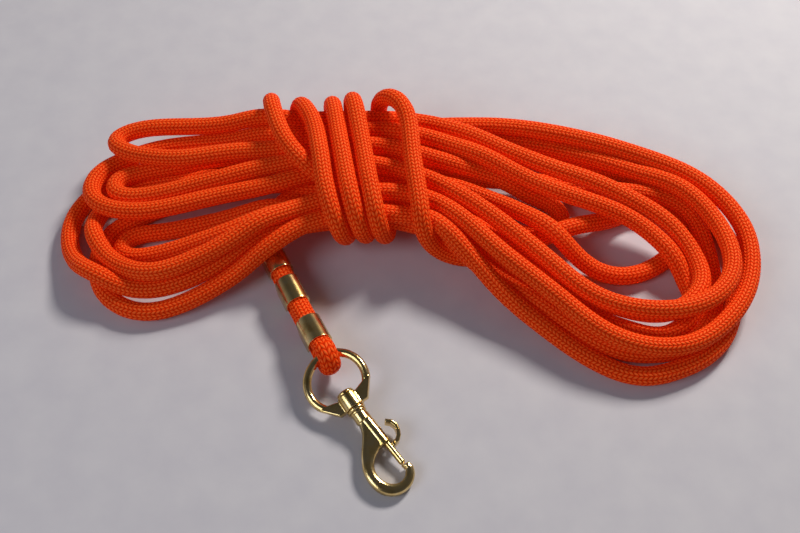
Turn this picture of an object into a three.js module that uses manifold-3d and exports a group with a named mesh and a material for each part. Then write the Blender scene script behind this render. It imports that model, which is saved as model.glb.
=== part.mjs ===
// Training leash: a long braided rope folded into a hank and wrapped round its waist, with a brass
// bolt snap whose swivel eye is held in a doubled end of the rope by three crimped ferrules.
//
// Millimetres, +Z up. X runs along the hank, Y from the snap towards the hank's back edge, and the
// origin is on the floor under the middle of the whole leash.

import * as THREE from "three";
import { mergeVertices } from "three/addons/utils/BufferGeometryUtils.js";
import Module from "manifold-3d";

const wasm = await Module();
wasm.setup();

// ---------------------------------------------------------------- driving dimensions

const GAP = 0.3; // clearance between any two neighbouring pieces
const degrees = THREE.MathUtils.degToRad;

const ROPE = {
  diameter: 9.5,
  squeezed: 8.4, // diameter of the tail, which the wraps press on
  crimpedWidth: 10.2, // each strand of the doubled end is pressed to an oval in the ferrules
  crimpedThickness: 7,
  sides: 10,
  tailSteps: 14, // sections along the tail
  doubledSteps: 76, // sections along the doubled end
};

const HANK = {
  height: 29, // how high the loose bights stack
  leftFace: -84, // where the left bights run into the waist
  rightFace: 21,
  edgeRound: 6,
};

// The outer edge of each bundle of bights, seen from above and taken anticlockwise.
const LEFT_BIGHTS = [
  [-100, 108],
  [-134, 112.3],
  [-164, 104],
  [-181, 74],
  [-188, 34],
  [-175, 6],
  [-152, -17],
  [-128, -24],
  [-108, -19],
  [-92, -8],
];
const RIGHT_BIGHTS = [
  [22, 17],
  [67, -33],
  [90, -54],
  [116, -62],
  [147, -47],
  [173, -24],
  [188, 13],
  [177, 58],
  [150, 82],
  [108, 95],
  [60, 106],
];

const WAIST = {
  y: 62, // middle of the bundle inside the wraps
  width: 71,
  height: 24,
};

const WRAPS = {
  x: [-38, -26, -14, 6], // middle of each turn, from the left
  lean: 0.17, // how far a turn runs to the left for each millimetre it runs back
  edgeRound: 2.5,
};

// The tail of the rope: out from under the first turn, over the back of the waist and in below it.
const TAIL = [
  [-54, 58, 39.5],
  [-60, 74, 40],
  [-64, 88, 39],
  [-66, 99, 34],
  [-66, 105, 22],
  [-65, 99, 10],
  [-63, 88, 5],
  [-61, 76, 5],
];

const EYE = {
  centre: [-32.3, -57.9, 9.8],
  radius: 14.4, // to the middle of the wire
  wire: 2.1,
  roll: degrees(15), // the eye has turned this far on its swivel, its far side up
  slip: degrees(12), // the rope has slipped this far round the eye from the swivel's axis
  chord: 7.5, // from the middle of the eye to where the webs take over from the wire
  shoulder: 15.8,
  shoulderHalfWidth: 7.8,
  webThickness: 3.8,
  webStart: 7.2, // where the webs leave the ring's outer edge
  bossStart: 8.6,
  webRound: 0.6,
  bossRadius: 4.9,
  bossEnd: 16.2,
};

const SNAP = {
  heading: degrees(-55), // direction of the swivel's axis, seen from above
  pitch: degrees(6.8), // the axis runs down to the hook, which lies on the floor
  pinRadius: 2.2,
  headRadius: 4.3,
  headHeight: 2.2,
  headRim: 0.8, // height of the head's straight edge, under its dome
  pinEnd: 21.2,
  washerRadius: 4.6,
  washerThickness: 1.5,
  washerRound: 0.4,
  neckRadius: 3.7,
  neckEnd: 24,
  collarHeight: 1, // a low ring at the neck's foot
  collarRadius: 4.1,
  barrelRadius: 3.3,
  barrelStart: 21,
  barrelEnd: 38.5,
  thickness: 5.2, // of the hook
  edgeRound: 1.7,
};

const BOLT = {
  lean: degrees(3.5), // the barrel points a little outwards, to the hook's tip
  start: [45, 3.2], // a point on its axis: along the swivel's axis, and off to the side
  radius: 1.5,
  nose: 0.7, // length of its tapered nose
  noseRadius: 1.0,
  back: 34, // ends of the bolt, at rest, measured along the swivel's axis
  front: 50.7,
  offset: 1.1, // its bore is this far off the middle of the barrel
  boreBack: 22.4,
  travel: 7.5,
  slotWidth: 2.0,
};

const LEVER = {
  stem: 1.4, // thickness of the stem in the slot
  back: 39.3, // the stem's rearmost point, measured like the bolt's ends
  width: 4.8,
  edgeRound: 0.3,
};

const SPRING = { coilRadius: 1.15, wire: 0.24, sides: 5, turns: 7, pointsPerTurn: 12, stepsPerTurn: 9 };

const LEAD = {
  heading: degrees(116.5), // from the eye to the hank
  loopRadius: 6.5,
  loopHalfAngle: 118, // degrees of the round part of the loop, on either side of its far end
  straight: 0.8, // the strands run on this far past a ferrule before they bend
  ferrules: [13.4, 41.5, 63], // middle of each, from the eye's wire
  upperEnd: 77,
  upperRise: 3.5, // the upper strand lifts this much at its end, on its way up into the hank
  lowerEnd: 75,
};

const FERRULE = { length: 15.2, wall: 0.9, corner: 3.4, edgeRound: 0.4 };

// ---------------------------------------------------------------- materials

const rope = (name) =>
  new THREE.MeshStandardMaterial({ name, color: 0xf2560f, roughness: 0.85, metalness: 0 });
const brass = (name, roughness = 0.22) =>
  new THREE.MeshStandardMaterial({ name, color: 0xb08d3a, roughness, metalness: 1 });
const steel = (name) =>
  new THREE.MeshStandardMaterial({ name, color: 0x9a9a96, roughness: 0.35, metalness: 1 });

// ---------------------------------------------------------------- helpers

function named(name, geometry, material) {
  const mesh = new THREE.Mesh(geometry, material);
  mesh.name = name;
  return mesh;
}

// A closed three.js geometry as a manifold-3d solid.
function solid(geometry) {
  const bare = new THREE.BufferGeometry();
  bare.setAttribute("position", geometry.getAttribute("position"));
  bare.setIndex(geometry.index);
  const merged = mergeVertices(bare, 1e-4);
  return new wasm.Manifold(
    new wasm.Mesh({
      numProp: 3,
      vertProperties: merged.attributes.position.array,
      triVerts: new Uint32Array(merged.index.array),
    }),
  );
}

// A manifold-3d solid as a three.js geometry.
function geometryOf(made) {
  const mesh = made.getMesh();
  const geometry = new THREE.BufferGeometry();
  geometry.setAttribute("position", new THREE.BufferAttribute(mesh.vertProperties, 3));
  geometry.setIndex(new THREE.BufferAttribute(mesh.triVerts, 1));
  geometry.computeVertexNormals();
  return geometry;
}

// A round rod on the X axis from one place to another, tapered if its end radius differs.
function rod(radius, from, to, sides = 24, endRadius = radius) {
  const geometry = new THREE.CylinderGeometry(endRadius, radius, to - from, sides);
  return geometry.rotateZ(-Math.PI / 2).translate((from + to) / 2, 0, 0);
}

// A box between two opposite corners.
function block(from, to) {
  const size = to.map((high, axis) => high - from[axis]);
  const middle = to.map((high, axis) => (high + from[axis]) / 2);
  return new THREE.BoxGeometry(...size).translate(...middle);
}

// A plate cut to a shape in XY, centred on the XY plane, with its edges rounded over.
function plate(shape, thickness, round = 0, curveSegments = 8) {
  return new THREE.ExtrudeGeometry(shape, {
    depth: thickness - 2 * round,
    bevelEnabled: round > 0,
    bevelThickness: round,
    bevelSize: round,
    bevelOffset: -round,
    bevelSegments: 2,
    curveSegments,
    steps: 1,
  }).translate(0, 0, round - thickness / 2);
}

function polygon(points) {
  return new THREE.Shape(points.map(([x, y]) => new THREE.Vector2(x, y)));
}

// Draws a rectangle with rounded corners on a path, width along X and height along Y. Its ends are
// half circles unless a corner radius is given.
function drawSlot(path, width, height, radius = Math.min(width, height) / 2) {
  const x = width / 2 - radius;
  const y = height / 2 - radius;
  path.absarc(x, y, radius, 0, Math.PI / 2);
  path.absarc(-x, y, radius, Math.PI / 2, Math.PI);
  path.absarc(-x, -y, radius, Math.PI, 1.5 * Math.PI);
  path.absarc(x, -y, radius, 1.5 * Math.PI, 2 * Math.PI);
  return path;
}

// A slot of the inner width and height, with a wall of the given thickness round it.
function slotTube(width, height, wall, radius = Math.min(width, height) / 2) {
  const shape = drawSlot(new THREE.Shape(), width + 2 * wall, height + 2 * wall, radius + wall);
  shape.holes.push(drawSlot(new THREE.Path(), width, height, radius));
  return shape;
}

// A tube along a smooth curve through the points. Its section is round, or an ellipse if a second
// radius is given.
function tube(points, radius, sides, steps, secondRadius = radius) {
  const path = new THREE.CatmullRomCurve3(
    points.map((p) => new THREE.Vector3(...p)),
    false,
    "centripetal",
  );
  const section = [];
  for (let i = 0; i < sides; i++) {
    const angle = (i / sides) * 2 * Math.PI;
    section.push(new THREE.Vector2(radius * Math.cos(angle), secondRadius * Math.sin(angle)));
  }
  return new THREE.ExtrudeGeometry(new THREE.Shape(section), { extrudePath: path, steps });
}

// ---------------------------------------------------------------- the hank

// A bundle of bights: a closed outline, straight where it meets the waist, with rounded edges.
function bights(name, edge, face) {
  const shape = new THREE.Shape();
  const [first] = edge;
  const last = edge[edge.length - 1];
  shape.moveTo(face, first[1]);
  shape.lineTo(...first);
  shape.splineThru(edge.slice(1).map(([x, y]) => new THREE.Vector2(x, y)));
  shape.lineTo(face, last[1]);
  const geometry = plate(shape, HANK.height, HANK.edgeRound, 3);
  geometry.translate(0, 0, HANK.height / 2);
  return named(name, geometry, rope(name));
}

function hankBights() {
  return [
    bights("rope_bights_left", LEFT_BIGHTS, HANK.leftFace),
    bights("rope_bights_right", RIGHT_BIGHTS, HANK.rightFace),
  ];
}

const waistMiddleZ = ROPE.diameter + GAP + WAIST.height / 2;

// Turns a piece drawn in XY, with its thickness along Z, so that it stands across the hank.
function acrossHank(geometry, x) {
  geometry.rotateX(Math.PI / 2).rotateZ(Math.PI / 2);
  return geometry.translate(x, WAIST.y, waistMiddleZ);
}

function waist() {
  const length = HANK.rightFace - HANK.leftFace - 2 * GAP;
  const geometry = plate(drawSlot(new THREE.Shape(), WAIST.width, WAIST.height), length, 0, 4);
  acrossHank(geometry, (HANK.rightFace + HANK.leftFace) / 2);
  return named("rope_waist", geometry, rope("rope_waist"));
}

function wrap(x, index) {
  const ring = slotTube(WAIST.width + 2 * GAP, WAIST.height + 2 * GAP, ROPE.diameter);
  const geometry = plate(ring, ROPE.diameter, WRAPS.edgeRound, 2);
  acrossHank(geometry, x);
  const lean = new THREE.Matrix4().makeShear(0, 0, -WRAPS.lean, 0, 0, 0);
  geometry.translate(0, -WAIST.y, 0).applyMatrix4(lean).translate(0, WAIST.y, 0);
  const name = `rope_wrap_${index + 1}`;
  return named(name, geometry, rope(name));
}

function tail() {
  const geometry = tube(TAIL, ROPE.squeezed / 2, ROPE.sides, ROPE.tailSteps);
  return named("rope_tail", geometry, rope("rope_tail"));
}

// ---------------------------------------------------------------- the snap, drawn along +X
// X runs along the swivel's axis from the middle of the eye to the hook, Y towards the bolt's side.

function swivelEye() {
  const ring = solid(new THREE.TorusGeometry(EYE.radius, EYE.wire, 12, 48));
  const rim = EYE.radius + EYE.wire;
  const bar = solid(block([EYE.chord, -rim, -EYE.wire - GAP], [rim + 1, rim, EYE.wire + GAP]));
  const startY = Math.sqrt(rim ** 2 - EYE.webStart ** 2) - GAP / 2;
  const innerY = Math.sqrt((EYE.radius - EYE.wire) ** 2 - EYE.chord ** 2) + EYE.webRound;
  const web = plate(
    polygon([
      [EYE.bossStart + EYE.webRound, -EYE.bossRadius],
      [EYE.chord, -innerY],
      [EYE.webStart, -startY],
      [EYE.shoulder, -EYE.shoulderHalfWidth],
      [EYE.shoulder, EYE.shoulderHalfWidth],
      [EYE.webStart, startY],
      [EYE.chord, innerY],
      [EYE.bossStart + EYE.webRound, EYE.bossRadius],
    ]),
    EYE.webThickness,
    EYE.webRound,
  );
  const boss = rod(EYE.bossRadius, EYE.bossStart, EYE.bossEnd);
  const hole = rod(SNAP.pinRadius + GAP, EYE.bossStart - 1, EYE.bossEnd + 1);
  const made = ring.subtract(bar).add(solid(web)).add(solid(boss)).subtract(solid(hole));
  return named("swivel_eye", geometryOf(made), brass("swivel_eye"));
}

const washerStart = EYE.bossEnd + GAP;
const neckStart = washerStart + SNAP.washerThickness + GAP;

// The headed pin that holds the eye on: its head is domed, inside the eye.
function swivelPin() {
  const headBack = EYE.bossStart - GAP;
  const headFront = headBack - SNAP.headHeight;
  const dome = SNAP.headHeight - SNAP.headRim;
  const profile = [new THREE.Vector2(0, headFront)];
  for (let i = 1; i <= 5; i++) {
    const angle = (i / 5) * (Math.PI / 2);
    const radius = SNAP.headRadius * Math.sin(angle);
    profile.push(new THREE.Vector2(radius, headFront + dome * (1 - Math.cos(angle))));
  }
  profile.push(new THREE.Vector2(SNAP.headRadius, headBack));
  profile.push(new THREE.Vector2(SNAP.pinRadius, headBack));
  profile.push(new THREE.Vector2(SNAP.pinRadius, SNAP.pinEnd));
  profile.push(new THREE.Vector2(0, SNAP.pinEnd));
  const geometry = new THREE.LatheGeometry(profile, 20).rotateZ(-Math.PI / 2);
  return named("swivel_pin", geometry, brass("swivel_pin"));
}

function washer() {
  const inner = SNAP.pinRadius + GAP;
  const outer = SNAP.washerRadius;
  const end = washerStart + SNAP.washerThickness;
  const round = SNAP.washerRound;
  const profile = [
    [inner, washerStart],
    [outer - round, washerStart],
    [outer, washerStart + round],
    [outer, end - round],
    [outer - round, end],
    [inner, end],
    [inner, washerStart],
  ].map(([radius, along]) => new THREE.Vector2(radius, along));
  const geometry = new THREE.LatheGeometry(profile, 24).rotateZ(-Math.PI / 2);
  return named("swivel_washer", geometry, brass("swivel_washer"));
}

// Moves a piece drawn along the bolt's axis to where the bolt lies. Places along that axis are
// given as on the swivel's axis, because the two lean apart by only a few degrees.
function onBoltAxis(geometry) {
  const [x, y] = BOLT.start;
  return geometry.translate(-x, 0, 0).rotateZ(BOLT.lean).translate(x, y, 0);
}

// The outline of the belly and hook, from the neck down the back, round the hook and to its tip,
// then back up the inside of the hook to the barrel.
function hookShape() {
  const shape = new THREE.Shape();
  const spline = (points) => shape.splineThru(points.map(([x, y]) => new THREE.Vector2(x, y)));
  shape.moveTo(21, -3);
  spline([
    [25, -3.3],
    [29, -4.6],
    [33, -7.4],
    [38, -11],
    [44, -13.9],
    [50, -14.7],
    [56, -13.2],
    [60.2, -9.6],
    [62, -4.4],
    [61, 1.1],
    [57.8, 5],
    [54.4, 6.6],
  ]);
  shape.lineTo(51.5, 6.1);
  shape.lineTo(51.1, 2.2);
  shape.lineTo(53.6, 2.9);
  spline([
    [56.3, 0.4],
    [57.2, -3.4],
    [55, -7.3],
    [50.4, -9.5],
    [45.4, -8.9],
    [41.8, -6.1],
    [39.4, -2.4],
    [38.2, 0],
  ]);
  shape.lineTo(38.2, 3);
  shape.lineTo(21, 3);
  return shape;
}

function snapBody() {
  const hook = solid(plate(hookShape(), SNAP.thickness, SNAP.edgeRound, 3));
  const neck = rod(SNAP.neckRadius, neckStart, SNAP.neckEnd);
  const collar = rod(SNAP.collarRadius, neckStart, neckStart + SNAP.collarHeight);
  const barrel = onBoltAxis(
    rod(SNAP.barrelRadius, SNAP.barrelStart, SNAP.barrelEnd).translate(0, -BOLT.offset, 0),
  );
  const past = SNAP.barrelEnd + 2; // the cuts run out past the barrel's end
  const bore = onBoltAxis(rod(BOLT.radius + GAP, BOLT.boreBack, past, 20));
  const half = BOLT.slotWidth / 2;
  const slotBack = LEVER.back - BOLT.travel - GAP;
  const slot = onBoltAxis(block([slotBack, 0, -half], [past, 2 * SNAP.barrelRadius, half]));
  const socket = rod(SNAP.pinRadius + GAP, neckStart - 1, SNAP.pinEnd + GAP);
  const made = hook
    .add(solid(neck))
    .add(solid(collar))
    .add(solid(barrel))
    .subtract(solid(bore))
    .subtract(solid(slot))
    .subtract(solid(socket));
  return named("snap_body", geometryOf(made), brass("snap_body"));
}

function bolt() {
  const noseStart = BOLT.front - BOLT.nose;
  const shank = solid(rod(BOLT.radius, BOLT.back, noseStart, 20));
  const nose = solid(rod(BOLT.radius, noseStart, BOLT.front, 20, BOLT.noseRadius));
  const geometry = onBoltAxis(geometryOf(shank.add(nose)));
  return named("bolt", geometry, brass("bolt"));
}

// The thumb lever: a narrow stem in the barrel's slot, and a wide tab curled back over the barrel.
function thumbLever() {
  const foot = BOLT.radius + GAP;
  const stem = plate(
    polygon([
      [40, foot],
      [41.6, foot],
      [41.6, 3.4],
      [40.6, 4.6],
      [LEVER.back, 3.8],
    ]),
    LEVER.stem,
  );
  const tab = plate(
    polygon([
      [41.6, 3],
      [41.3, 4.8],
      [39.6, 7],
      [37.2, 8.4],
      [34.3, 9],
      [31.4, 8.3],
      [29.3, 6.1],
      [30.4, 5.3],
      [32.1, 6.9],
      [34.5, 7.5],
      [36.7, 7],
      [38.6, 5.7],
      [39.8, 4],
      [40.1, 3],
    ]),
    LEVER.width,
    LEVER.edgeRound,
  );
  const geometry = onBoltAxis(geometryOf(solid(stem).add(solid(tab))));
  return named("thumb_lever", geometry, brass("thumb_lever"));
}

function boltSpring() {
  const from = BOLT.boreBack + GAP + SPRING.wire;
  const to = BOLT.back - GAP - SPRING.wire;
  const points = [];
  const count = SPRING.turns * SPRING.pointsPerTurn;
  for (let i = 0; i <= count; i++) {
    const angle = (i / SPRING.pointsPerTurn) * 2 * Math.PI;
    points.push([
      from + ((to - from) * i) / count,
      SPRING.coilRadius * Math.cos(angle),
      SPRING.coilRadius * Math.sin(angle),
    ]);
  }
  const coil = tube(points, SPRING.wire, SPRING.sides, SPRING.turns * SPRING.stepsPerTurn);
  const geometry = onBoltAxis(coil);
  return named("bolt_spring", geometry, steel("bolt_spring"));
}

// ---------------------------------------------------------------- the doubled end of the rope
// Drawn along +X from the eye's wire to the hank, with +Z up. The two strands lie one above the
// other. The last two ferrules lie on the floor, and from there the pair rises to the wire.

const pairSpacing = ROPE.crimpedThickness + GAP;
const ferruleWidth = ROPE.crimpedWidth + 2 * GAP;
const ferruleHeight = 2 * ROPE.crimpedThickness + 3 * GAP;
const floorMiddle = FERRULE.wall + ferruleHeight / 2;

function pairMiddle(along, wireZ) {
  const [, onFloor] = LEAD.ferrules;
  const share = Math.max(0, 1 - along / (onFloor - FERRULE.length / 2));
  return floorMiddle + (wireZ - floorMiddle) * share;
}

function doubledEnd(wireZ) {
  const half = FERRULE.length / 2 + LEAD.straight;
  const places = LEAD.ferrules.flatMap((middle) => [middle - half, middle, middle + half]);
  const strand = (side) =>
    places.map((x) => [x, 0, pairMiddle(x, wireZ) + (side * pairSpacing) / 2]);
  const points = [...strand(-1).reverse()];
  points.unshift([LEAD.lowerEnd, 0, floorMiddle - pairSpacing / 2]);
  for (let i = 0; i <= 8; i++) {
    const angle = degrees(180 + LEAD.loopHalfAngle * (1 - i / 4));
    const x = LEAD.loopRadius * Math.cos(angle);
    points.push([x, 0, wireZ + LEAD.loopRadius * Math.sin(angle)]);
  }
  points.push(...strand(1), [LEAD.upperEnd, 0, floorMiddle + pairSpacing / 2 + LEAD.upperRise]);
  const geometry = tube(
    points,
    ROPE.crimpedThickness / 2,
    ROPE.sides,
    ROPE.doubledSteps,
    ROPE.crimpedWidth / 2,
  );
  return named("rope_doubled_end", geometry, rope("rope_doubled_end"));
}

function ferrule(along, index, wireZ) {
  const shape = slotTube(ferruleWidth, ferruleHeight, FERRULE.wall, FERRULE.corner);
  const geometry = plate(shape, FERRULE.length, FERRULE.edgeRound, 2);
  geometry.rotateX(Math.PI / 2).rotateZ(Math.PI / 2);
  const rise = pairMiddle(along - 1, wireZ) - pairMiddle(along + 1, wireZ);
  geometry.rotateY(Math.atan(rise / 2));
  geometry.translate(along, 0, pairMiddle(along, wireZ));
  const name = `ferrule_${index + 1}`;
  return named(name, geometry, brass(name, 0.28));
}

// ---------------------------------------------------------------- assembly

const leash = new THREE.Group();

const eyeGroup = new THREE.Group();
eyeGroup.position.set(...EYE.centre);
eyeGroup.rotation.set(EYE.roll, SNAP.pitch, SNAP.heading, "ZYX");
eyeGroup.add(swivelEye());

const snapGroup = new THREE.Group();
snapGroup.position.copy(eyeGroup.position);
snapGroup.rotation.set(0, SNAP.pitch, SNAP.heading, "ZYX");
snapGroup.add(swivelPin(), washer(), snapBody(), bolt(), thumbLever(), boltSpring());

eyeGroup.updateMatrixWorld();
const held = new THREE.Vector3(
  -EYE.radius * Math.cos(EYE.slip),
  EYE.radius * Math.sin(EYE.slip),
  0,
).applyMatrix4(eyeGroup.matrixWorld);

const leadGroup = new THREE.Group();
leadGroup.position.set(held.x, held.y, 0);
leadGroup.rotation.z = LEAD.heading;
leadGroup.add(doubledEnd(held.z));
leadGroup.add(...LEAD.ferrules.map((along, index) => ferrule(along, index, held.z)));

leash.add(...hankBights(), waist(), ...WRAPS.x.map(wrap), tail(), leadGroup, eyeGroup, snapGroup);

export default leash;
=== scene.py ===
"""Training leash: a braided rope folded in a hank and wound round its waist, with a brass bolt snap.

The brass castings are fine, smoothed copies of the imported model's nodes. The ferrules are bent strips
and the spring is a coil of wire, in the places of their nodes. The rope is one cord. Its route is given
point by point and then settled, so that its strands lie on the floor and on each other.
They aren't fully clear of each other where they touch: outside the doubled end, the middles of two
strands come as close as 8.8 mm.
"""

import math

import numpy as np

import bpy
from mathutils import Matrix, Vector


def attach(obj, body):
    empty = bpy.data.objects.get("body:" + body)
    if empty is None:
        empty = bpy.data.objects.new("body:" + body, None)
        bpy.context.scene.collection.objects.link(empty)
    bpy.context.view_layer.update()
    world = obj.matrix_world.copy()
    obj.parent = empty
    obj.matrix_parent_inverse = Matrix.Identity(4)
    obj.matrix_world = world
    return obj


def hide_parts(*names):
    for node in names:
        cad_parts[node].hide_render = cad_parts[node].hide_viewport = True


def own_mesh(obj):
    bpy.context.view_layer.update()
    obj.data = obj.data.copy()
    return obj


MM = 0.001  # sizes are in millimetres unless their comment says otherwise, and this makes them metres

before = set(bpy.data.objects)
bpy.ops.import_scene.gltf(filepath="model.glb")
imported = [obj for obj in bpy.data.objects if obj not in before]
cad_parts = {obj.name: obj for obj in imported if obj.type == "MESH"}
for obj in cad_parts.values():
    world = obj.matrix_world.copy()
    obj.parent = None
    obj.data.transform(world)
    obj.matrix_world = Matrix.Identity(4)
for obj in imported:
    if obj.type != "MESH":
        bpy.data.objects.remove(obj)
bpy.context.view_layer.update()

# ==== rope route
# Points are in millimetres, in the frame's axes.

ROPE_DIAMETER = 9.5
CRIMPED_WIDTH = 10.2  # the doubled end's strands are pressed to an oval
CRIMPED_THICKNESS = 7.0
FLOOR_CENTRE = ROPE_DIAMETER / 2  # height of the middle of a strand that lies on the floor
STEP = 4.0  # between the points that are settled
CURVE_SAMPLES = 24  # between two points of a route, before it is divided evenly

# The doubled end, in the upright plane through the ferrules. It rises from the second ferrule's front
# end to the eye's wire, with one strand above the other.
EYE_WIRE = (-37.90, -44.86, 12.24)
LEAD_HEADING = math.radians(116.5)
LEAD_LOOP_RADIUS = 6.5
LEAD_LOOP_HALF_ANGLE = 118  # degrees
LEAD_LOOP_STEPS = 8
LEAD_STRAIGHT = 0.8  # beyond each end of a ferrule
FERRULES = [13.4, 41.5, 63]  # middle of each, from the eye's wire
FERRULE_LENGTH = 15.2
PAIR_SPACING = 7.3
PAIR_FLOOR_HEIGHT = 8.35  # of the middle of the pair, where a ferrule lies on the floor
LOWER_END = 75  # where the rope's cut end lies, from the eye's wire
UPPER_END = 71.3  # where the upper strand is let loose

# From the last ferrule under the left bights and into the waist.
LEAD_IN = [(-73, 28, 12), (-74, 37, 8), (-72, 48, 8), (-64, 57, 11), (-50, 62, 14)]

# The hank in the order in which the rope is folded: each row runs from the waist round one bight and
# back to the waist. The rows are named for where their bight lies.
RIGHT_SHORT = [
    (-22, 66, 14), (14, 60, 14), (50, 42, 7), (68, 31, 5), (80, 34, 5), (86, 44, 5), (80, 54, 6),
    (66, 60, 11), (52, 63, 16), (36, 65, 22), (14, 68, 28), (-10, 73, 31), (-36, 74, 31),
]
LEFT_TOP = [
    (-64, 73, 30), (-93, 72, 29), (-120, 69, 27), (-143, 74, 23), (-154, 79, 20), (-161, 87, 19),
    (-154, 94, 20), (-141, 96, 22), (-112, 95, 24), (-76, 94, 27), (-40, 94, 29), (-10, 94, 30),
]
RIGHT_UPPER = [
    (14, 92, 29), (36, 85, 29), (52, 76, 28), (78, 64, 26), (104, 54, 24), (124, 43, 21), (139, 32, 18),
    (148, 18, 15), (151, 4, 11), (148, -10, 8), (140, -18, 10), (127, -20, 12), (105, -17, 12),
    (82, -4, 13), (60, 14, 14), (32, 34, 14), (14, 43, 14),
]
LEFT_INNER_FRONT = [
    (-22, 48, 14), (-55, 46, 13), (-80, 44, 10), (-111, 38, 8), (-132, 34, 6), (-146, 32, 5),
    (-152, 26, 5), (-147, 20, 6), (-138, 18, 8), (-127, 18, 10), (-111, 21, 14), (-95, 24, 19),
    (-80, 29, 22), (-58, 36, 23), (-22, 43, 22),
]
RIGHT_INNER = [
    (14, 37, 16), (50, 12, 11), (75, -7, 9), (98, -20, 9), (117, -28, 7), (129, -30, 5), (140, -27, 5),
    (147, -17, 5), (147, -2, 7), (142, 9, 11), (133, 22, 15), (121, 34, 18), (103, 42, 21),
    (77, 51, 24), (51, 64, 27), (36, 72, 29), (14, 80, 30), (-10, 85, 31), (-38, 88, 27),
]
LEFT_BACK = [
    (-64, 89, 21), (-96, 89, 19), (-113, 89, 17), (-130, 88, 15), (-142, 86, 14), (-151, 81, 14),
    (-159, 76, 14), (-167, 67, 15), (-169, 56, 16), (-164, 46, 17), (-156, 42, 18), (-139, 39, 19),
    (-118, 42, 21), (-97, 47, 23), (-81, 49, 25), (-60, 53, 27), (-22, 66, 23),
]
RIGHT_UNDER = [
    (14, 67, 20), (50, 66, 14), (90, 62, 11), (120, 60, 10), (141, 54, 9), (154, 43, 8), (159, 31, 7),
    (160, 18, 6), (160, 4, 5), (158, -10, 5), (152, -24, 5), (141, -35, 6), (123, -40, 7),
    (110, -40, 8), (96, -35, 9), (75, -18, 10), (50, 2, 12), (30, 18, 15), (14, 30, 20), (-22, 33, 22),
]
LEFT_OUTER = [
    (-58, 28, 21), (-79, 17, 20), (-97, 5, 17), (-113, -2, 15), (-128, -6, 13), (-144, -4, 11),
    (-160, 4, 8), (-174, 18, 6), (-179, 36, 5), (-176, 52, 5), (-166, 66, 5), (-150, 76, 5),
    (-120, 82, 6), (-90, 84, 9), (-64, 82, 13), (-22, 80, 14),
]
RIGHT_FLOOR = [
    (14, 82, 14), (60, 88, 9), (108, 80, 6), (137, 70, 5), (158, 55, 5), (170, 38, 5), (175, 18, 5),
    (171, -3, 5), (161, -23, 5), (150, -38, 5), (134, -48, 5), (119, -53, 5), (104, -50, 5),
    (91, -42, 6), (72, -28, 9), (48, -7, 15), (29, 14, 22), (18, 23, 26), (-10, 29, 30), (-38, 28, 28),
]
LEFT_FRONT = [
    (-53, 24, 26), (-74, 15, 19), (-84, 6, 15), (-93, -1, 12), (-103, -7, 9), (-118, -13, 6),
    (-130, -16, 5), (-142, -13, 5), (-151, -6, 5), (-159, 4, 5), (-161, 17, 5), (-157, 31, 5),
    (-147, 42, 5), (-125, 54, 6), (-95, 66, 9), (-64, 76, 17), (-22, 79, 22),
]
RIGHT_BACK = [
    (14, 80, 21), (36, 88, 15), (60, 90, 13), (90, 84, 13), (112, 77, 13), (129, 69, 14), (149, 56, 16),
    (158, 45, 18), (164, 31, 19), (167, 15, 20), (166, 2, 21), (160, -10, 22), (150, -19, 23),
    (137, -24, 23), (120, -24, 22), (105, -21, 22), (90, -13, 22), (73, 4, 24), (49, 27, 27),
    (29, 42, 30), (14, 51, 31), (-10, 60, 31), (-36, 62, 31),
]
LEFT_INNER_BACK = [
    (-60, 63, 30), (-76, 61, 29), (-97, 56, 26), (-119, 52, 22), (-135, 50, 19), (-151, 51, 17),
    (-158, 57, 16), (-153, 65, 15), (-139, 70, 15), (-115, 75, 16), (-90, 80, 17), (-64, 87, 21),
    (-22, 90, 22),
]
RIGHT_OUTER = [
    (14, 97, 22), (54, 96, 22), (81, 91, 21), (108, 85, 20), (135, 76, 19), (158, 63, 18),
    (172, 46, 17), (179, 27, 16), (178, 8, 15), (172, -9, 15), (163, -22, 15), (151, -33, 15),
    (138, -40, 15), (123, -42, 16), (110, -40, 17), (95, -33, 19), (72, -13, 23), (48, 8, 27),
    (29, 28, 29), (13, 39, 30), (-10, 42, 31), (-32, 38, 31),
]
LEFT_MIDDLE = [
    (-53, 33, 30), (-71, 24, 28), (-83, 16, 26), (-95, 9, 24), (-108, 4, 22), (-122, -1, 19),
    (-134, 0, 18), (-146, 7, 15), (-155, 15, 12), (-162, 27, 9), (-165, 40, 8), (-162, 52, 8),
    (-152, 62, 8), (-135, 67, 8), (-105, 66, 9), (-64, 58, 16), (-22, 55, 22),
]
RIGHT_LAST = [
    (14, 58, 19), (50, 46, 18), (68, 34, 18), (83, 21, 13), (97, 10, 6), (109, 6, 5), (123, 8, 5),
    (136, 16, 5), (146, 27, 5), (148, 39, 5), (141, 49, 5), (128, 50, 5), (111, 42, 8), (97, 36, 12),
    (84, 31, 15), (66, 26, 11), (50, 21, 5), (32, 17, 5),
]
HANK = [
    RIGHT_SHORT, LEFT_TOP, RIGHT_UPPER, LEFT_INNER_FRONT, RIGHT_INNER, LEFT_BACK, RIGHT_UNDER, LEFT_OUTER,
    RIGHT_FLOOR, LEFT_FRONT, RIGHT_BACK, LEFT_INNER_BACK, RIGHT_OUTER, LEFT_MIDDLE, RIGHT_LAST,
]

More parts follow.
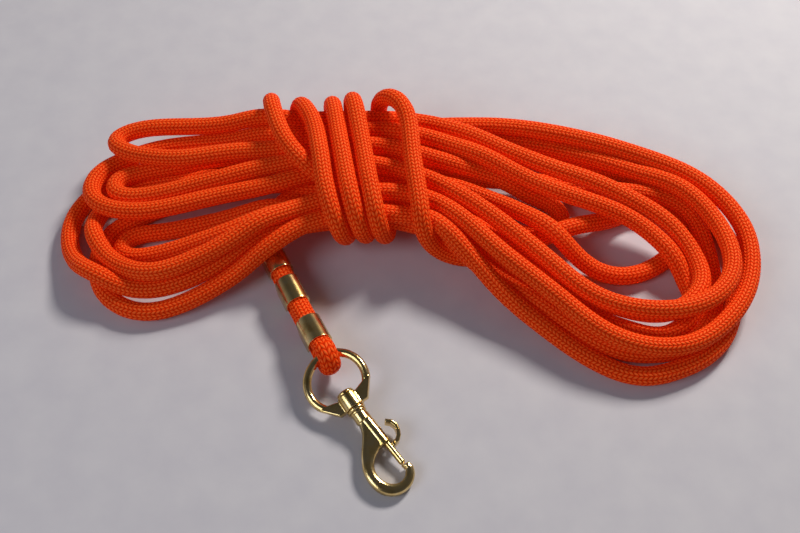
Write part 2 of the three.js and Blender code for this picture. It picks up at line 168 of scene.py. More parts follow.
# The turns round the waist, from the right: each runs up the front, over the top, down the back and
# underneath.
WRAPS = [
    [
        (24, 19, 6), (15, 21, 14), (11, 23, 25), (8, 31, 37), (6, 45, 41), (4, 61, 42), (3, 78, 44),
        (0, 90, 46), (-6, 98, 45), (-13, 103, 36), (-14, 104, 24), (-11, 98, 11), (-9, 84, 5),
        (-8, 60, 5), (-8, 44, 5),
    ],
    [
        (-8, 33, 9), (-10, 24, 17), (-12, 21, 26), (-14, 26, 36), (-17, 36, 41), (-19, 48, 42),
        (-21, 61, 42), (-24, 79, 43), (-26, 91, 45), (-28, 101, 40), (-29, 104, 27), (-27, 99, 12),
        (-24, 84, 5), (-21, 60, 5), (-19, 44, 5),
    ],
    [
        (-19, 33, 9), (-20, 24, 17), (-22, 21, 26), (-25, 26, 36), (-28, 36, 40), (-30, 48, 41),
        (-33, 62, 41), (-35, 76, 41), (-37, 90, 42), (-39, 100, 37), (-40, 103, 24), (-38, 98, 11),
        (-35, 84, 5), (-31, 60, 5), (-29, 44, 5),
    ],
    [
        (-29, 32, 9), (-31, 23, 17), (-33, 20, 26), (-36, 25, 36), (-39, 33, 40), (-42, 46, 42),
        (-44, 60, 42), (-46, 74, 41), (-49, 86, 42), (-53, 94, 39), (-59, 101, 30), (-60, 102, 18),
        (-54, 90, 7), (-48, 70, 5), (-42, 50, 5),
    ],
]
TAIL = [
    (-38, 49, 10), (-36, 49, 17), (-37, 50, 25), (-42, 51, 32), (-49, 54, 37), (-55, 60, 39),
    (-61, 67, 41), (-65, 74, 42), (-68, 83, 43), (-71, 93, 43), (-73, 102, 36), (-73, 105, 24),
    (-71, 101, 11), (-68, 92, 5), (-65, 82, 5), (-62, 70, 5), (-60, 60, 5),
]


def pair_middle(along):
    """The height of the middle of the doubled end, at a distance from the eye's wire."""
    front = FERRULES[1] - FERRULE_LENGTH / 2
    return PAIR_FLOOR_HEIGHT + (EYE_WIRE[2] - PAIR_FLOOR_HEIGHT) * max(0, 1 - along / front)


def doubled_end():
    """The lower strand, the loop round the eye's wire, and the upper strand back to the last ferrule."""
    half = FERRULE_LENGTH / 2 + LEAD_STRAIGHT
    places = [middle + side * half for middle in FERRULES for side in (-1, 0, 1)]
    places[-1] = UPPER_END
    lower = [(along, pair_middle(along) - PAIR_SPACING / 2) for along in [LOWER_END, *places[-2::-1]]]
    upper = [(along, pair_middle(along) + PAIR_SPACING / 2) for along in places]
    loop = []
    for i in range(LEAD_LOOP_STEPS + 1):
        angle = math.radians(180 + LEAD_LOOP_HALF_ANGLE * (1 - i / (LEAD_LOOP_STEPS / 2)))
        loop.append((LEAD_LOOP_RADIUS * math.cos(angle), EYE_WIRE[2] + LEAD_LOOP_RADIUS * math.sin(angle)))
    x, y, _ = EYE_WIRE
    return [
        (x + along * math.cos(LEAD_HEADING), y + along * math.sin(LEAD_HEADING), height)
        for along, height in lower + loop + upper
    ]


def lengths_along(points):
    """How far along the line each of its points lies."""
    return np.concatenate([[0], np.cumsum(np.linalg.norm(np.diff(points, axis=0), axis=1))])


def evenly(points, spacing):
    """A smooth curve through the points, as evenly spaced points about one spacing apart.

    It is a centripetal Catmull-Rom curve."""
    p = np.array(points, float)
    p = np.vstack([2 * p[0] - p[1], p, 2 * p[-1] - p[-2]])
    dense = []
    for before, start, end, after in zip(p[:-3], p[1:-2], p[2:-1], p[3:]):
        pace_before = np.linalg.norm(start - before) ** 0.5
        pace = np.linalg.norm(end - start) ** 0.5
        pace_after = np.linalg.norm(after - end) ** 0.5
        leave = (
            (start - before) / pace_before
            - (end - before) / (pace_before + pace)
            + (end - start) / pace
        ) * pace
        arrive = (
            (end - start) / pace
            - (after - start) / (pace + pace_after)
            + (after - end) / pace_after
        ) * pace
        for t in np.linspace(0, 1, CURVE_SAMPLES, endpoint=False):
            dense.append(
                (2 * t**3 - 3 * t**2 + 1) * start
                + (t**3 - 2 * t**2 + t) * leave
                + (3 * t**2 - 2 * t**3) * end
                + (t**3 - t**2) * arrive
            )
    dense.append(p[-2])
    dense = np.array(dense)
    along = lengths_along(dense)
    count = max(2, round(along[-1] / spacing) + 1)
    even = np.linspace(0, along[-1], count)
    return np.stack([np.interp(even, along, dense[:, axis]) for axis in range(3)], axis=1)


def rope_route():
    """The whole route, and how many of its points belong to the doubled end, which is held."""
    held = evenly(doubled_end(), STEP)
    points = [tuple(held[-1])]
    for row in [LEAD_IN, *HANK, *WRAPS, TAIL]:
        points += row
    loose = evenly(points, STEP)[1:]
    return np.vstack([held, loose]), len(held)


# ==== settling the rope
# The weights are for one round and were chosen by trial.

SETTLE_ROUNDS = 520
NEIGHBOURS = 4  # points this near along the rope aren't pushed apart
PAIR_REACH = 1.35  # pairs closer than this are watched, in diameters
PAIR_REFRESH = 4  # rounds between two searches for pairs
PAIR_BLOCK = 256  # points compared at once
THIN_START = 0.55  # the rope starts this thin, as a share of its diameter
SWELLING = 0.6  # and grows by this share over the rounds, up to its full diameter
HOLD_FADING = 0.08  # the part of the pull towards the route that fades out
HOLD_LASTING = 0.02  # and the part that stays
HOLD_UPRIGHT = 0.35  # share of the pull that acts on the height
SINKING = 0.05  # how far a point sinks
SINKING_FADE = 2.2  # the larger this is, the later the sinking begins to fade
STIFFNESS = 0.9
PUSH_PASSES = 2
PUSH_SHARING = 0.7  # at 1 a point moves by the mean of the pushes on it, and at 0 by their sum
LENGTH_PASSES = 3
LEAST_DISTANCE = 1e-6  # stands in for zero where a distance divides


def near_pairs(p, reach, skip):
    """Pairs of points closer than reach that aren't near each other along the rope."""
    first, second = [], []
    for start in range(0, len(p), PAIR_BLOCK):
        block = p[start : start + PAIR_BLOCK]
        apart = block[:, None, :] - p[None, :, :]
        close = np.einsum("ijk,ijk->ij", apart, apart) < reach * reach
        i, j = np.nonzero(close)
        i = i + start
        keep = j - i > skip
        first.append(i[keep])
        second.append(j[keep])
    return np.concatenate(first), np.concatenate(second)


def let_down(p, route, free, progress):
    """Pulls each point towards its place in the route, lets it sink, and straightens the rope."""
    hold = HOLD_FADING * (1 - progress) + HOLD_LASTING
    pull = (route - p) * hold
    pull[:, 2] *= HOLD_UPRIGHT
    pull[:, 2] -= SINKING * min(1.0, SINKING_FADE - SINKING_FADE * progress)
    p += pull * free
    bend = np.zeros_like(p)
    bend[2:-2] = (-p[:-4] + 4 * p[1:-3] - 6 * p[2:-2] + 4 * p[3:-1] - p[4:]) / 16
    p += STIFFNESS * bend * free


def push_apart(p, first, second, diameter, fixed, free):
    """Pushes pairs that are closer than the diameter apart, and lifts points onto the floor."""
    apart = p[second] - p[first]
    distance = np.maximum(np.linalg.norm(apart, axis=1), LEAST_DISTANCE)
    deep = np.maximum(diameter - distance, 0)
    touching = deep > 0
    push = apart[touching] * (0.5 * deep[touching] / distance[touching])[:, None]
    moved = np.zeros_like(p)
    for axis in range(3):
        moved[:, axis] -= np.bincount(first[touching], push[:, axis], len(p))
        moved[:, axis] += np.bincount(second[touching], push[:, axis], len(p))
    count = np.bincount(first[touching], minlength=len(p)) + np.bincount(second[touching], minlength=len(p))
    p += moved / np.maximum(count, 1)[:, None] ** PUSH_SHARING * free
    p[:, 2] = np.where(fixed, p[:, 2], np.maximum(p[:, 2], FLOOR_CENTRE))


def keep_lengths(p, rest, free):
    """Brings each step between two points back towards its length, every other step at a time."""
    for parity in (0, 1):
        before, after = p[parity:-1:2], p[parity + 1 :: 2]
        gap = after - before
        distance = np.linalg.norm(gap, axis=1)
        fix = gap * (0.5 * (distance - rest[parity::2]) / distance)[:, None]
        before += fix * free[parity:-1:2]
        after -= fix * free[parity + 1 :: 2]


def settle(route, fixed, rounds):
    """Lets the rope down onto the floor and onto itself, and leaves small overlaps.

    The rope swells to its full diameter on the way, so that strands which cross end up in the order
    they started in."""
    p = route.copy()
    free = (~fixed).astype(float)[:, None]
    rest = np.linalg.norm(np.diff(route, axis=0), axis=1)
    for n in range(rounds):
        progress = n / rounds
        diameter = ROPE_DIAMETER * min(1.0, THIN_START + SWELLING * progress)
        let_down(p, route, free, progress)
        if n % PAIR_REFRESH == 0:
            first, second = near_pairs(p, ROPE_DIAMETER * PAIR_REACH, NEIGHBOURS)
        for _ in range(PUSH_PASSES):
            push_apart(p, first, second, diameter, fixed, free)
        for _ in range(LENGTH_PASSES):
            keep_lengths(p, rest, free)
    return p


# ==== rope mesh

ROPE_SIDES = 32
ROPE_COLUMNS = 16  # columns of stitches round the braid
COLUMN_DEPTH = 0.035  # of the grooves between the columns, as a share of the radius
RING_STEP = 2.5
LOOSE_END = 3  # points cut off the tail, because settling leaves its very end bent
SMOOTHING_PASSES = 3
CRIMP_FADE = 25.0  # length over which the rope goes from the crimped oval back to round
END_TAPER = np.array([0.86, 0.95])  # sizes of the two rings at each end, as shares of the rope's


def linked(name, data):
    """A new object of the data, in the scene."""
    obj = bpy.data.objects.new(name, data)
    bpy.context.scene.collection.objects.link(obj)
    return obj


def smoothed(points, first, passes):
    """The points with small kinks taken out, from the given one on."""
    p = points.copy()
    for _ in range(passes):
        middle = (p[:-2] + 2 * p[1:-1] + p[2:]) / 4
        p[first:-1] = middle[first - 1 :]
    return p


def frames_along(centres):
    """Two unit vectors across the path at each of its points, without twist."""
    along = np.gradient(centres, axis=0)
    along /= np.linalg.norm(along, axis=1)[:, None]
    side = np.cross(along[0], (0, 0, 1))
    side /= np.linalg.norm(side)
    sides = []
    for direction in along:
        side = side - direction * side.dot(direction)
        side /= np.linalg.norm(side)
        sides.append(side)
    sides = np.array(sides)
    return sides, np.cross(along, sides)


def add_braid_map(mesh, centres, sides, i, j):
    """A UV map with once round the tube across, and millimetres of its length along."""
    lengths = lengths_along(centres)
    u = np.stack([j, j + 1, j + 1, j], axis=-1) / sides
    v = np.stack([lengths[i], lengths[i], lengths[i + 1], lengths[i + 1]], axis=-1) / MM
    uv = np.stack([u, v], axis=-1).reshape(-1, 2)
    end_faces = np.zeros((2 * sides, 2))
    uv = np.vstack([uv, end_faces])
    layer = mesh.uv_layers.new(name="braid")
    layer.data.foreach_set("uv", uv.astype(np.float32).ravel())


def tube_object(name, centres, half_widths, half_heights, sides, columns=0, groove=0.0):
    """A closed tube of quads along the centres, in metres. It can have columns with grooves between."""
    across, up = frames_along(centres)
    angle = np.arange(sides) / sides * 2 * math.pi
    profile = np.ones(sides)
    if columns:
        profile -= groove * (0.5 + 0.5 * np.cos(columns * angle))
    ring_x = (np.cos(angle) * profile)[None, :, None]
    ring_y = (np.sin(angle) * profile)[None, :, None]
    across = across * half_widths[:, None]
    up = up * half_heights[:, None]
    points = centres[:, None, :] + ring_x * across[:, None, :] + ring_y * up[:, None, :]
    count = len(centres)
    i, j = np.meshgrid(np.arange(count - 1), np.arange(sides), indexing="ij")
    after = (j + 1) % sides
    ring, next_ring = i * sides, (i + 1) * sides
    quads = np.stack([ring + j, ring + after, next_ring + after, next_ring + j], axis=-1)
    faces = quads.reshape(-1, 4).tolist()
    faces.append(list(range(sides))[::-1])
    faces.append([(count - 1) * sides + k for k in range(sides)])
    mesh = bpy.data.meshes.new(name)
    mesh.from_pydata(points.reshape(-1, 3).tolist(), [], faces)
    mesh.shade_smooth()
    add_braid_map(mesh, centres, sides, i, j)
    return linked(name, mesh)


def half_sizes(path, held):
    """Half the rope's width and height at each ring: an oval in the doubled end, and round beyond it."""
    along = np.arange(len(path)) * RING_STEP
    share = np.clip((along - held * STEP) / CRIMP_FADE, 0, 1)
    half_widths = (CRIMPED_WIDTH + (ROPE_DIAMETER - CRIMPED_WIDTH) * share) / 2
    half_heights = (CRIMPED_THICKNESS + (ROPE_DIAMETER - CRIMPED_THICKNESS) * share) / 2
    for sizes in (half_widths, half_heights):
        sizes[:2] *= END_TAPER
        sizes[-2:] *= END_TAPER[::-1]
    return half_widths * MM, half_heights * MM


def rope():
    route, held = rope_route()
    fixed = np.zeros(len(route), bool)
    fixed[:held] = True
    settled = settle(route, fixed, SETTLE_ROUNDS)[:-LOOSE_END]
    path = evenly(smoothed(settled, held, SMOOTHING_PASSES), RING_STEP)
    sizes = half_sizes(path, held)
    obj = tube_object("leash_rope", path * MM, *sizes, ROPE_SIDES, ROPE_COLUMNS, COLUMN_DEPTH)
    obj.data.materials.append(braid_material())
    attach(obj, "rope")
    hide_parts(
        "rope_bights_left",
        "rope_bights_right",
        "rope_waist",
        "rope_wrap_1",
        "rope_wrap_2",
        "rope_wrap_3",
        "rope_wrap_4",
        "rope_tail",
        "rope_doubled_end",
    )


# ==== materials


class Nodes:
    """A material's nodes, made by short calls. A value may be a number or another node's output."""

    def __init__(self, name):
        self.material = bpy.data.materials.new(name)
        self.material.use_nodes = True
        self.tree = self.material.node_tree
        self.shader = self.tree.nodes["Principled BSDF"]

    def put(self, socket, value):
        if isinstance(value, bpy.types.NodeSocket):
            self.tree.links.new(value, socket)
        else:
            socket.default_value = value

    def math(self, operation, *values):
        node = self.tree.nodes.new("ShaderNodeMath")
        node.operation = operation
        for socket, value in zip(node.inputs, values):
            self.put(socket, value)
        return node.outputs[0]

    def noise(self, coordinates, scale, detail, rough=0.5):
        node = self.tree.nodes.new("ShaderNodeTexNoise")
        self.put(node.inputs["Vector"], coordinates)
        node.inputs["Scale"].default_value = scale
        node.inputs["Detail"].default_value = detail
        node.inputs["Roughness"].default_value = rough
        return node.outputs["Fac"]

    def between(self, value, low, high, to_low, to_high):
        node = self.tree.nodes.new("ShaderNodeMapRange")
        for socket, number in zip(node.inputs[:5], (value, low, high, to_low, to_high)):
            self.put(socket, number)
        return node.outputs[0]

    def ramp(self, value, stops):
        node = self.tree.nodes.new("ShaderNodeValToRGB")
        self.put(node.inputs[0], value)
        ramp = node.color_ramp
        while len(ramp.elements) < len(stops):
            ramp.elements.new(0.5)
        for element, (place, colour) in zip(ramp.elements, stops):
            element.position = place
            element.color = (*colour, 1)
        return node.outputs[0]

    def object_coordinates(self):
        return self.tree.nodes.new("ShaderNodeTexCoord").outputs["Object"]

    def bump(self, height, distance, strength):
        node = self.tree.nodes.new("ShaderNodeBump")
        node.inputs["Strength"].default_value = strength
        node.inputs["Distance"].default_value = distance
        self.put(node.inputs["Height"], height)
        return node.outputs[0]


STITCH_LENGTH = 2.2  # millimetres of rope for each stitch of a column
STITCH_SLANT = 0.7  # how far a stitch leans along the rope across its column, in stitches
FIBRE_HEIGHT = 0.16  # of the fine fibres on a stitch, as a share of the stitch
BRAID_RELIEF = 0.0005  # metres that its bump map stands for
BRASS_RELIEF = 0.00004
STEEL_RELIEF = 0.00003
# The rope's orange, darkened by painted shade where the stitches sink and lightened by a painted highlight
# where they rise.
BRAID_COLOURS_AND_PAINTED_LIGHT = [
    (0.10, (0.36, 0.006, 0.000)),  # painted shade, in the gaps between the stitches
    (0.38, (0.76, 0.030, 0.000)),
    (0.66, (1.00, 0.050, 0.000)),
    (0.92, (1.00, 0.150, 0.025)),  # painted highlight, on the crests
]
PAINTED_GLOW = 0.05  # painted glow: a little emission, which brightens the rope in shade, for the fluorescent dye's bright orange
BRASS_DARK = (0.52, 0.36, 0.11)
BRASS_MIDDLE = (0.74, 0.54, 0.22)
BRASS_LIGHT = (0.86, 0.68, 0.34)
STEEL_COLOURS = [(0.3, (0.42, 0.42, 0.41)), (0.7, (0.66, 0.66, 0.64))]
PAPER_COLOURS = [(0.3, (0.56, 0.55, 0.60)), (0.7, (0.60, 0.59, 0.63))]


def stitches(n):
    """The braid's stitches: their height, the place along and across each, and the column's number."""
    uv = n.tree.nodes.new("ShaderNodeUVMap")
    uv.uv_map = "braid"
    split = n.tree.nodes.new("ShaderNodeSeparateXYZ")
    n.put(split.inputs[0], uv.outputs[0])
    column = n.math("MULTIPLY", split.outputs["X"], float(ROPE_COLUMNS))
    across = n.math("FRACT", column)
    index = n.math("FLOOR", column)
    odd = n.math("MODULO", index, 2.0)
    direction = n.math("SUBTRACT", n.math("MULTIPLY", odd, 2.0), 1.0)
    off_middle = n.math("MULTIPLY", n.math("SUBTRACT", across, 0.5), direction)
    lean = n.math("MULTIPLY", off_middle, STITCH_SLANT)
    along = n.math("ADD", n.math("DIVIDE", split.outputs["Y"], STITCH_LENGTH), lean)
    stitch = n.math("FRACT", along)
    hump = n.math("SINE", n.math("MULTIPLY", stitch, math.pi))
    round_over = n.math("SINE", n.math("MULTIPLY", across, math.pi))
    height = n.math("MULTIPLY", n.math("POWER", hump, 0.6), n.math("POWER", round_over, 0.5))
    return height, along, across, index


def braid_material():
    n = Nodes("leash_braid")
    stitch_height, along, across, index = stitches(n)
    place = n.object_coordinates()
    fibre_place = n.tree.nodes.new("ShaderNodeCombineXYZ")
    n.put(fibre_place.inputs[0], n.math("MULTIPLY", along, 7.0))
    n.put(fibre_place.inputs[1], n.math("MULTIPLY", across, 1.2))
    n.put(fibre_place.inputs[2], index)
    fibres = n.noise(fibre_place.outputs[0], scale=1.0, detail=3.0)
    shade = n.noise(place, scale=45.0, detail=3.0)
    height = n.math("ADD", stitch_height, n.math("MULTIPLY", fibres, FIBRE_HEIGHT))
    # The ramp paints shade on the low parts of the stitches and highlights on their high parts.
    tone_and_painted_light = n.math("ADD", n.math("MULTIPLY", height, 0.86), n.math("MULTIPLY", shade, 0.16))
    n.put(n.shader.inputs["Base Color"], n.ramp(tone_and_painted_light, BRAID_COLOURS_AND_PAINTED_LIGHT))
    n.put(n.shader.inputs["Roughness"], n.between(height, 0.2, 1.1, to_low=0.80, to_high=0.42))
    n.put(n.shader.inputs["Normal"], n.bump(height, BRAID_RELIEF, strength=0.8))
    n.shader.inputs["Specular IOR Level"].default_value = 0.05
    n.shader.inputs["Sheen Weight"].default_value = 0.02
    n.shader.inputs["Sheen Tint"].default_value = (1.0, 0.45, 0.2, 1)
    # Painted glow: the rope gives off a little orange light of its own, though it is no lamp.
    n.shader.inputs["Emission Color"].default_value = (1.0, 0.04, 0.0, 1)
    n.shader.inputs["Emission Strength"].default_value = PAINTED_GLOW
    return n.material


def brass_material(name, roughness, tarnish):
    n = Nodes(name)
    place = n.object_coordinates()
    stains = n.noise(place, scale=160.0, detail=4.0, rough=0.6)
    scratches = n.noise(place, scale=1400.0, detail=2.0, rough=0.7)
    red, green, blue = BRASS_DARK
    stained = (red - tarnish, green - tarnish, blue)
    colour = n.ramp(stains, [(0.32, stained), (0.5, BRASS_MIDDLE), (0.72, BRASS_LIGHT)])
    n.put(n.shader.inputs["Base Color"], colour)
    n.shader.inputs["Metallic"].default_value = 1.0
    dulled = n.between(stains, 0.3, 0.75, to_low=roughness * 1.7, to_high=roughness)
    n.put(n.shader.inputs["Roughness"], dulled)
    fine = n.math("MULTIPLY", scratches, 0.35)
    grain = n.math("ADD", fine, n.noise(place, scale=420.0, detail=3.0))
    n.put(n.shader.inputs["Normal"], n.bump(grain, BRASS_RELIEF, strength=0.6))
    return n.material


def steel_material():
    n = Nodes("spring_wire")
    streaks = n.noise(n.object_coordinates(), scale=900.0, detail=3.0)
    n.put(n.shader.inputs["Base Color"], n.ramp(streaks, STEEL_COLOURS))
    n.shader.inputs["Metallic"].default_value = 1.0
    n.put(n.shader.inputs["Roughness"], n.between(streaks, 0.3, 0.7, to_low=0.45, to_high=0.25))
    n.put(n.shader.inputs["Normal"], n.bump(streaks, STEEL_RELIEF, strength=0.5))
    return n.material


def paper_material():
    n = Nodes("floor_paper")
    grain = n.noise(n.object_coordinates(), scale=60.0, detail=4.0)
    n.put(n.shader.inputs["Base Color"], n.ramp(grain, PAPER_COLOURS))
    n.shader.inputs["Roughness"].default_value = 0.75
    return n.material


# ==== brass castings

CAST_OUTWARD = 0.09  # how far a smoothed casting's surface is moved out
LEVER_OUTWARD = 0.25  # the thumb lever is thicker in the photograph than in the model

# Each casting's node, its body, the size of its mesh's cells, its rounds of smoothing, and how far its
# surface is moved out.
CASTINGS = [
    ("swivel_eye", "eye", 0.2, 14, CAST_OUTWARD),
    ("swivel_pin", "snap", 0.14, 5, CAST_OUTWARD),
    ("swivel_washer", "snap", 0.14, 3, CAST_OUTWARD),
    ("snap_body", "snap", 0.2, 8, CAST_OUTWARD),
    ("bolt", "bolt", 0.13, 2, CAST_OUTWARD),
    ("thumb_lever", "bolt", 0.13, 4, LEVER_OUTWARD),
]


def applied(obj):
    """Turns an object's modifiers into its mesh."""
    graph = bpy.context.evaluated_depsgraph_get()
    made = bpy.data.meshes.new_from_object(obj.evaluated_get(graph))
    obj.modifiers.clear()
    obj.data = made


def finished(obj, body, material, node):
    """Gives a piece its material and its body, and hides the CAD node that it stands for."""
    obj.data.materials.clear()
    obj.data.materials.append(material)
    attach(obj, body)
    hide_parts(node)


def cast_copy(node, body, material, voxel, smooth_passes, outward):
    """A fine mesh of a CAD node with its edges softened, as a casting that has been polished.

    Smoothing draws the surface in a little, so it is then moved out again."""
    obj = linked(node + "_cast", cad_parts[node].data.copy())
    remesh = obj.modifiers.new("remesh", "REMESH")
    remesh.mode = "VOXEL"
    remesh.voxel_size = voxel * MM
    smooth = obj.modifiers.new("smooth", "SMOOTH")
    smooth.factor = 0.5
    smooth.iterations = smooth_passes
    displace = obj.modifiers.new("outward", "DISPLACE")
    displace.mid_level = 0
    displace.strength = outward * MM
    applied(obj)
    obj.data.shade_smooth()
    finished(obj, body, material, node)


# ==== ferrules

FERRULE_WIDTH = 12.6  # outside
FERRULE_HEIGHT = 16.7
FERRULE_CORNER = 5.6
FERRULE_WALL = 0.9
FERRULE_BEVEL = 0.28
BEVEL_ANGLE = math.radians(50)  # only edges sharper than this are bevelled
TAB_REACH = 12.0  # from the tip of the strip's rounded end to where the strip has its full width
TAB_TIP = 0.02  # the square of the width at that tip, where the full width is 1
SEAM_GAP = 0.3

# The outline's corners in their order round the strands: the sides of the middle that each lies on, the
# angle at which it starts, and how far it turns, in degrees.
CORNERS = [(-1, -1, 225, 45), (-1, 1, 180, 90), (1, 1, 90, 90), (1, -1, 0, 90), (-1, -1, -90, 45)]
CORNER_STEPS = 12
STRIP_ROWS = 97  # round the strands
STRIP_COLUMNS = 17  # along them


def resampled(values, along, even):
    """The values, given at the places along, at the even places."""
    return np.stack([np.interp(even, along, values[:, k]) for k in (0, 1)], axis=1)


def rounded_outline():
    """Places along a rectangle with round corners, and the points and outward normals there.

    They are evenly spaced. They start low on the -x side and go up it, over the top and round to just
    below the start."""
    points, normals = [], []
    for side, level, start, turn in CORNERS:
        middle = np.array(
            [side * (FERRULE_WIDTH / 2 - FERRULE_CORNER), level * (FERRULE_HEIGHT / 2 - FERRULE_CORNER)]
        )
        for step in range(CORNER_STEPS + 1):
            angle = math.radians(start - turn * step / CORNER_STEPS)
            normal = np.array([math.cos(angle), math.sin(angle)])
            points.append(middle + FERRULE_CORNER * normal)
            normals.append(normal)
    points, normals = np.array(points), np.array(normals)
    along = lengths_along(points)
    even = np.linspace(0, along[-1] - SEAM_GAP, STRIP_ROWS)
    normals = resampled(normals, along, even)
    return even, resampled(points, along, even), normals / np.linalg.norm(normals, axis=1)[:, None]


def ferrule_frame(middle):
    """The centre of a ferrule, and its directions to the hank, to the right and up."""
    rise = (pair_middle(middle - 1) - pair_middle(middle + 1)) / 2
    heading = np.array([math.cos(LEAD_HEADING), math.sin(LEAD_HEADING)])
    x, y, _ = EYE_WIRE
    ahead = np.array([*heading, -rise])
    ahead /= np.linalg.norm(ahead)
    right = np.array([heading[1], -heading[0], 0])
    up = np.cross(right, ahead)
    up *= np.sign(up[2])
    centre = np.array([x + middle * heading[0], y + middle * heading[1], pair_middle(middle)])
    return centre, ahead, right, up


def strip_points(middle):
    """The outer skin of the strip and then its inner skin, row by row."""
    centre, ahead, right, up = ferrule_frame(middle)
    along, outline, normals = rounded_outline()
    lap = np.clip(1 - along / TAB_REACH, 0, 1)
    half = FERRULE_LENGTH / 2 * np.sqrt(np.maximum(1 - lap**2, TAB_TIP))
    points = []
    for depth in (0, FERRULE_WALL):
        skin = outline - normals * depth
        for (px, pz), reach in zip(skin, half):
            for t in np.linspace(-1, 1, STRIP_COLUMNS):
                points.append(tuple((centre + right * px + up * pz + ahead * (t * reach)) * MM))
    return points


def strip_corner(layer, row, column):
    """The number of a point of the strip. Layer 0 is the outer skin and layer 1 is the inner one."""
    return (layer * STRIP_ROWS + row) * STRIP_COLUMNS + column


def strip_faces():
    """Both skins of the strip, and the rim that joins them."""
    last_row, last_column = STRIP_ROWS - 1, STRIP_COLUMNS - 1
    faces = []
    for row in range(last_row):
        for column in range(last_column):
            corners = [(row, column), (row, column + 1), (row + 1, column + 1), (row + 1, column)]
            faces.append([strip_corner(0, *place) for place in corners])
            faces.append([strip_corner(1, *place) for place in corners[::-1]])
    rim = [(0, column) for column in range(last_column)]
    rim += [(row, last_column) for row in range(last_row)]
    rim += [(last_row, column) for column in range(last_column, 0, -1)]
    rim += [(row, 0) for row in range(last_row, 0, -1)]
    for a, b in zip(rim, rim[1:] + rim[:1]):
        faces.append([strip_corner(0, *b), strip_corner(0, *a), strip_corner(1, *a), strip_corner(1, *b)])
    return faces


def ferrule(number, material):
    """A brass strip bent round both strands, with a rounded end that laps down its left side."""
    mesh = bpy.data.meshes.new(f"ferrule_{number}_strip")
    mesh.from_pydata(strip_points(FERRULES[number - 1]), [], strip_faces())
    obj = linked(mesh.name, mesh)
    bevel = obj.modifiers.new("bevel", "BEVEL")
    bevel.width = FERRULE_BEVEL * MM
    bevel.segments = 3
    bevel.angle_limit = BEVEL_ANGLE
    applied(obj)
    obj.data.shade_smooth()
    finished(obj, "rope", material, f"ferrule_{number}")


# ==== bolt spring

EYE_CENTRE = Vector((-32.3, -57.9, 9.8)) * MM
SNAP_HEADING = math.radians(-55)
SNAP_PITCH = math.radians(6.8)
SPRING_START = 22.7  # places on the bolt's axis, as in the model
SPRING_END = 33.7
SPRING_TURNS = 7
SPRING_STEPS = 24  # to a turn
SPRING_SIDES = 10
SPRING_RADIUS = 1.15
SPRING_WIRE = 0.24
BOLT_PLACE = (45, 3.2)  # the bolt's axis passes through here, in the snap's own axes
BOLT_LEAN = math.radians(3.5)


def snap_point(x, y, z):
    """Where a point given along and across the bolt's axis lies in the frame, in metres."""
    lean = Vector((x - BOLT_PLACE[0], y, z))
    lean.rotate(Matrix.Rotation(BOLT_LEAN, 3, "Z"))
    local = lean + Vector((*BOLT_PLACE, 0))
    turn = Matrix.Rotation(SNAP_HEADING, 3, "Z") @ Matrix.Rotation(SNAP_PITCH, 3, "Y")
    return turn @ (local * MM) + EYE_CENTRE


def bolt_spring(material):
    first, last = SPRING_START + SPRING_WIRE, SPRING_END - SPRING_WIRE
    steps = SPRING_TURNS * SPRING_STEPS
    centres = []
    for i in range(steps + 1):
        angle = i / SPRING_STEPS * 2 * math.pi
        place = first + (last - first) * i / steps
        centres.append(snap_point(place, SPRING_RADIUS * math.cos(angle), SPRING_RADIUS * math.sin(angle)))
    thick = np.full(steps + 1, SPRING_WIRE * MM)
    obj = tube_object("bolt_spring_wire", np.array(centres), thick, thick, SPRING_SIDES)
    finished(obj, "snap", material, "bolt_spring")
    start, end = snap_point(SPRING_START, 0, 0), snap_point(SPRING_END, 0, 0)
    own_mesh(obj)


def metal_parts():
    polished = brass_material("brass_polished", 0.13, 0.0)
    sleeve = brass_material("brass_sleeve", 0.16, 0.04)
    for node, body, voxel, smooth_passes, outward in CASTINGS:
        cast_copy(node, body, polished, voxel, smooth_passes, outward)
    for number in (1, 2, 3):
        ferrule(number, sleeve)
    bolt_spring(steel_material())


# ==== floor, light and camera
# Everything in this section is in metres, apart from the camera's lens and sensor.

FLOOR_REACH = 3.0
LIGHT_AIM = Vector((0, 0.03, 0))
HORIZON_COLOUR = (0.62, 0.60, 0.64, 1)
ZENITH_COLOUR = (0.10, 0.10, 0.12, 1)
ZENITH_START = 0.75  # upward part of the direction from which the surround has the zenith's colour
STUDIO_STRENGTH = 0.5
CAMERA_TARGET = Vector((-0.002, 0.016, 0.0))
CAMERA_ELEVATION = math.radians(55)
CAMERA_DISTANCE = 0.520
CAMERA_LENS = 44.3  # millimetres
CAMERA_SENSOR = 36  # millimetres


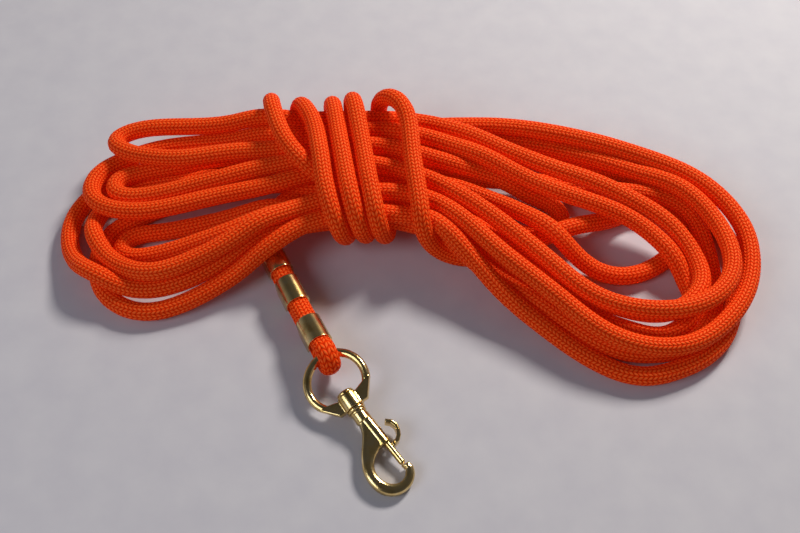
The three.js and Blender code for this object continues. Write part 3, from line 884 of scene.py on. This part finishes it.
def floor():
    corners = [(-1, -1, 0), (1, -1, 0), (1, 1, 0), (-1, 1, 0)]
    mesh = bpy.data.meshes.new("floor")
    mesh.from_pydata([Vector(corner) * FLOOR_REACH for corner in corners], [], [(0, 1, 2, 3)])
    obj = linked("floor", mesh)
    mesh.materials.append(paper_material())


def area_light(name, place, size, power, colour):
    data = bpy.data.lights.new(name, "AREA")
    data.shape = "DISK"
    data.size = size
    data.energy = power
    data.color = colour
    obj = linked(name, data)
    obj.location = place
    obj.rotation_euler = (LIGHT_AIM - Vector(place)).to_track_quat("-Z", "Y").to_euler()


def studio():
    """A soft surround that is pale at the horizon and dark overhead."""
    world = bpy.data.worlds.new("studio")
    bpy.context.scene.world = world
    world.use_nodes = True
    tree = world.node_tree
    split = tree.nodes.new("ShaderNodeSeparateXYZ")
    tree.links.new(tree.nodes.new("ShaderNodeTexCoord").outputs["Generated"], split.inputs[0])
    ramp = tree.nodes.new("ShaderNodeValToRGB")
    horizon, zenith = ramp.color_ramp.elements
    horizon.color = HORIZON_COLOUR
    zenith.color = ZENITH_COLOUR
    zenith.position = ZENITH_START
    tree.links.new(split.outputs["Z"], ramp.inputs[0])
    background = tree.nodes["Background"]
    tree.links.new(ramp.outputs[0], background.inputs["Color"])
    background.inputs["Strength"].default_value = STUDIO_STRENGTH


def lights():
    area_light("key", place=(0.60, 0.80, 0.85), size=0.30, power=16, colour=(1.0, 0.94, 0.86))
    area_light("fill", place=(-0.9, -0.6, 0.9), size=0.8, power=5, colour=(0.86, 0.91, 1.0))
    studio()


def camera():
    data = bpy.data.cameras.new("camera")
    data.lens = CAMERA_LENS
    data.sensor_width = CAMERA_SENSOR
    data.clip_start = 0.01
    obj = linked("camera", data)
    back = Vector((0, -math.cos(CAMERA_ELEVATION), math.sin(CAMERA_ELEVATION)))
    obj.location = CAMERA_TARGET + back * CAMERA_DISTANCE
    obj.rotation_euler = (-back).to_track_quat("-Z", "Y").to_euler()
    bpy.context.scene.camera = obj


bpy.context.scene.view_settings.view_transform = "Standard"
camera()
rope()
metal_parts()
floor()
lights()
